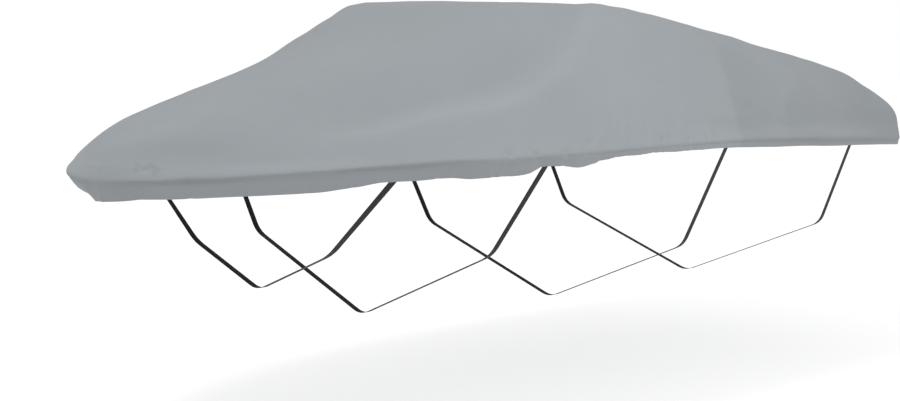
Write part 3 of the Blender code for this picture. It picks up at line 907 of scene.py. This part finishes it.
def over_hem_line(cloth, grid, height):
    """Points and normals of the cloth's outer face at a height over the hem's edge."""
    rows = grid[:, ::-1][:, :STITCHED_ROWS]
    run = lengths_along(cloth.outer[rows])
    row = np.argmax(run >= height, axis=1)
    each = np.arange(len(rows))
    share = ((height - run[each, row - 1]) / (run[each, row] - run[each, row - 1]))[:, None]
    points, normals = (values[rows[each, row - 1]] * (1 - share) + values[rows[each, row]] * share
                       for values in (cloth.outer, cloth.normals))
    return points, unit(normals)


def stitches_along(points, normals, store):
    """Adds stitches end to end along a line on the cloth."""
    run = lengths_along(points)

    def at(values, place):
        return np.array([np.interp(place, run, values[:, axis]) for axis in range(3)])

    for start in np.arange(STITCH_PITCH / 4, run[-1] - STITCH_LENGTH, STITCH_PITCH):
        first, last = at(points, start), at(points, start + STITCH_LENGTH)
        normal = at(normals, start + STITCH_LENGTH / 2)
        middle = (first + last) / 2
        side = np.cross(unit(last - first), normal) * STITCH_WIDTH / 2
        sunk = normal * STITCH_HEIGHT * STITCH_SUNK
        number = len(store.points)
        store.points += [first - sunk, last - sunk, middle - side, middle + side,
                         middle + normal * STITCH_HEIGHT, middle - sunk]
        store.faces += [[number + corner for corner in face] for face in STITCH_FACES]


def stitch_tack(cloth, grid, hem_x, store):
    """Stitches a box with a cross in it over a strap's tab."""
    half = TACK_WIDTH / 2
    first, last = hem_columns(cloth.outer, grid, hem_x + np.array([-half, half]))
    columns = np.linspace(first, last, TACK_POINTS)
    (low, low_turned), (high, high_turned) = (
        [np.array([at_column(values, column) for column in columns])
         for values in over_hem_line(cloth, grid, height)] for height in (TACK_LOW, TACK_HIGH))
    stitches_along(np.concatenate([low, high[::-1], low[:1]]),
                   np.concatenate([low_turned, high_turned[::-1], low_turned[:1]]), store)
    for ends in ((low[0], high[-1]), (high[0], low[-1])):
        stitches_along(np.array(ends), low_turned[[0, 0]], store)


def make_stitching(cloth):
    """Two rows of topstitching round the hem, and a stitched tack over each strap's tab."""
    store = SimpleNamespace(points=[], faces=[])
    for height in STITCH_ROWS:
        both = zip(over_hem_line(cloth, cloth.port, height),
                   over_hem_line(cloth, cloth.starboard, height))
        points, normals = (np.concatenate([port, starboard[-2:0:-1], port[:1]])
                           for port, starboard in both)
        stitches_along(points, normals, store)
    for strap in STRAPS:
        for grid in (cloth.port, cloth.starboard):
            stitch_tack(cloth, grid, strap.hem_x, store)
    return add_mesh("hem_stitching", store.points, store.faces)


# ---------------- materials
CANVAS_DARK = (0.318, 0.342, 0.362)
CANVAS_LIGHT = (0.372, 0.398, 0.420)
CANVAS_ROUGHNESS = 0.86
CANVAS_SHEEN = 0.03
SPECULAR = 0.2
THREAD_PITCH = 0.0011
WEAVE_HEIGHT = 0.0001
MOTTLE_BUMP = 1.5

# Noises of the canvas: scale, detail, and how much narrower they are along each thread.
SLUBS = (60.0, 2.0, (1.0, 22.0, 1.0))
CROSS_SLUBS = (60.0, 2.0, (22.0, 1.0, 1.0))
BLOTCHES = (1.6, 4.0)
MOTTLE = (14.0, 3.0)

# How much each of them adds to the tone, from dark at 0 to light at 1.
BLOTCH_TONE = 0.55
MOTTLE_TONE = 0.2
SLUB_TONE = 0.12
WEAVE_TONE = 0.06

WEBBING_DARK = (0.004, 0.004, 0.005)
WEBBING_LIGHT = (0.011, 0.011, 0.012)
WEBBING_ROUGHNESS = 0.62
WEBBING_FUZZ = (900.0, 2.0)
WEBBING_PATCHES = (9.0, 3.0)
RIB_PITCH = 0.0024
RIB_HEIGHT = 0.00025
RIB_TONE = 0.25
THREAD_COLOUR = (0.42, 0.46, 0.475)
THREAD_SHADE = 0.85
THREAD_ROUGHNESS = 0.7
THREAD_FUZZ = (300.0, 2.0)
THREAD_SHEEN = 0.1
WHITE = (1.0, 1.0, 1.0, 1.0)


class Nodes:
    """Short names for building the node tree of a material or of the world."""

    def __init__(self, owner, shader):
        owner.use_nodes = True
        self.owner = owner
        self.tree = owner.node_tree
        self.shader = self.tree.nodes[shader]

    def feed(self, node, inputs):
        """Gives inputs of a node, by name or number, a value or another node's output."""
        for name, value in inputs.items():
            if isinstance(value, bpy.types.NodeSocket):
                self.tree.links.new(value, node.inputs[name])
            else:
                node.inputs[name].default_value = value

    def node(self, kind, inputs=None, **settings):
        made = self.tree.nodes.new(kind)
        for name, value in settings.items():
            setattr(made, name, value)
        self.feed(made, inputs or {})
        return made

    def maths(self, operation, *values):
        return self.node("ShaderNodeMath", dict(enumerate(values)), operation=operation).outputs[0]

    def wave(self, value, pitch):
        return self.maths("SINE", self.maths("MULTIPLY", value, 2 * math.pi / pitch))

    def noise(self, where, scale, detail, stretch=(1.0, 1.0, 1.0)):
        mapping = self.node("ShaderNodeMapping", {"Vector": where, "Scale": stretch})
        noise = self.node("ShaderNodeTexNoise", {"Vector": mapping.outputs["Vector"],
                                                 "Scale": scale, "Detail": detail})
        return noise.outputs["Fac"]

    def colour(self, share, dark, light):
        blend = self.node("ShaderNodeMix", data_type="RGBA")
        self.feed(blend, {"Factor": share, 6: (*dark, 1.0), 7: (*light, 1.0)})
        self.feed(self.shader, {"Base Color": blend.outputs[2]})

    def bump(self, height, distance):
        bump = self.node("ShaderNodeBump", {"Height": height, "Distance": distance})
        self.feed(self.shader, {"Normal": bump.outputs["Normal"]})


def new_material(name, roughness, sheen=0.0):
    made = Nodes(bpy.data.materials.new(name), "Principled BSDF")
    made.feed(made.shader, {"Roughness": roughness, "Sheen Weight": sheen,
                            "Specular IOR Level": SPECULAR})
    return made


def canvas_material():
    """Plain-woven coated polyester: even threads both ways, faint slubs, faint blotches, and the
    painted light and shade that the mesh carries.
    """
    cloth = new_material("grey_canvas", CANVAS_ROUGHNESS, CANVAS_SHEEN)
    place = cloth.node("ShaderNodeTexCoord")
    axes = cloth.node("ShaderNodeSeparateXYZ", {0: place.outputs["UV"]})
    weave = cloth.maths("MULTIPLY", cloth.wave(axes.outputs["X"], THREAD_PITCH),
                        cloth.wave(axes.outputs["Y"], THREAD_PITCH))
    mottle = cloth.noise(place.outputs["Object"], *MOTTLE)
    layers = ((cloth.noise(place.outputs["Object"], *BLOTCHES), BLOTCH_TONE),
              (mottle, MOTTLE_TONE),
              (cloth.noise(place.outputs["UV"], *SLUBS), SLUB_TONE),
              (cloth.noise(place.outputs["UV"], *CROSS_SLUBS), SLUB_TONE),
              (weave, WEAVE_TONE))
    # The tone starts from the painted light and shade that the mesh carries as fade.
    tone = cloth.node("ShaderNodeAttribute", attribute_name="fade").outputs["Fac"]
    for layer, share in layers:
        tone = cloth.maths("ADD", tone, cloth.maths("MULTIPLY", layer, share))
    cloth.colour(tone, CANVAS_DARK, CANVAS_LIGHT)
    cloth.bump(cloth.maths("ADD", weave, cloth.maths("MULTIPLY", mottle, MOTTLE_BUMP)), WEAVE_HEIGHT)
    return cloth.owner


def webbing_material():
    """Black herringbone webbing."""
    web = new_material("black_webbing", WEBBING_ROUGHNESS, THREAD_SHEEN)
    place = web.node("ShaderNodeTexCoord")
    axes = web.node("ShaderNodeSeparateXYZ", {0: place.outputs["UV"]})
    slanted = web.maths("ADD", axes.outputs["Y"], web.maths("ABSOLUTE", axes.outputs["X"]))
    herringbone = web.wave(slanted, RIB_PITCH)
    patches = web.noise(place.outputs["Object"], *WEBBING_PATCHES)
    tone = web.maths("ADD", web.maths("MULTIPLY", herringbone, RIB_TONE), patches)
    web.colour(tone, WEBBING_DARK, WEBBING_LIGHT)
    fuzz = web.noise(place.outputs["UV"], *WEBBING_FUZZ)
    web.bump(web.maths("ADD", herringbone, fuzz), RIB_HEIGHT)
    return web.owner


def thread_material():
    thread = new_material("grey_thread", THREAD_ROUGHNESS, THREAD_SHEEN)
    place = thread.node("ShaderNodeTexCoord")
    fuzz = thread.noise(place.outputs["Object"], *THREAD_FUZZ)
    thread.colour(fuzz, tuple(value * THREAD_SHADE for value in THREAD_COLOUR), THREAD_COLOUR)
    return thread.owner


# ---------------- pieces
cloth_parts = build_cloth()
cover = make_cover(cloth_parts)
cover.data.materials.append(canvas_material())
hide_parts("cover")
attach(cover, "root")

stitching = make_stitching(cloth_parts)
stitching.data.materials.append(thread_material())
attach(stitching, "root")

webbing = webbing_material()
for strap in STRAPS:
    web, length = make_strap(strap, cloth_parts)
    web.data.materials.append(webbing)
    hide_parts(strap.name)
    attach(web, "root")

# ---------------- floor, light and camera
GROUND = -2.048
FLOOR_HALF = 45.0
FLOOR_COLOUR = (0.60, 0.60, 0.60)
FLOOR_GLOW = 0.6
FLOOR_ROUGHNESS = 0.9
SKY_STRENGTH = 0.7
BACKDROP_STRENGTH = 1.0
LIT_POINT = (0.0, -0.4, -0.3)
LIGHTS = table(
    "name x y z size power",
    ("side_light", -0.55, -3.3, 0.83, 2.0, 19.2),
    ("bow_light", -6.58, 0.0, 8.8, 3.0, 290.0),
)
CAMERA_AT = (-8.199, -6.569, -0.048)
CAMERA_YAW = 48.95
CAMERA_PITCH = -5.61
CAMERA_REACH = 200.0
LENS = 76.0

corners = [(x * FLOOR_HALF, y * FLOOR_HALF, GROUND) for x, y in ((-1, -1), (1, -1), (1, 1), (-1, 1))]
floor = add_mesh("floor", corners, [range(4)])
pale = new_material("pale_floor", FLOOR_ROUGHNESS)
pale.feed(pale.shader, {"Base Color": (*FLOOR_COLOUR, 1.0), "Emission Color": WHITE,
                        "Emission Strength": FLOOR_GLOW})
floor.data.materials.append(pale.owner)
floor.visible_diffuse = False

# The camera sees a white backdrop, and everything else is lit by a fainter sky.
studio = Nodes(bpy.data.worlds.new("studio"), "Background")
studio.feed(studio.shader, {"Color": WHITE, "Strength": SKY_STRENGTH})
backdrop = studio.node("ShaderNodeBackground", {"Color": WHITE, "Strength": BACKDROP_STRENGTH})
seen = studio.node("ShaderNodeLightPath")
either = studio.node("ShaderNodeMixShader", {0: seen.outputs["Is Camera Ray"],
                                             1: studio.shader.outputs["Background"],
                                             2: backdrop.outputs["Background"]})
studio.feed(studio.tree.nodes["World Output"], {"Surface": either.outputs["Shader"]})
bpy.context.scene.world = studio.owner


def aim(item, direction):
    """Links a lamp or a camera to the scene, turned to face a direction."""
    item.rotation_euler = direction.to_track_quat("-Z", "Y").to_euler()
    bpy.context.scene.collection.objects.link(item)


for light in LIGHTS:
    lamp_data = bpy.data.lights.new(light.name, "AREA")
    lamp_data.shape = "DISK"
    lamp_data.size = light.size
    lamp_data.energy = light.power
    lamp = bpy.data.objects.new(light.name, lamp_data)
    lamp.location = (light.x, light.y, light.z)
    lamp.visible_camera = False
    aim(lamp, Vector(LIT_POINT) - lamp.location)

camera_data = bpy.data.cameras.new("camera")
camera_data.lens = LENS
camera_data.clip_end = CAMERA_REACH
camera = bpy.data.objects.new("camera", camera_data)
camera.location = CAMERA_AT
yaw, pitch = math.radians(CAMERA_YAW), math.radians(CAMERA_PITCH)
level = math.cos(pitch)
aim(camera, Vector((math.sin(yaw) * level, math.cos(yaw) * level, math.sin(pitch))))
bpy.context.scene.camera = camera
bpy.context.scene.view_settings.view_transform = "Standard"
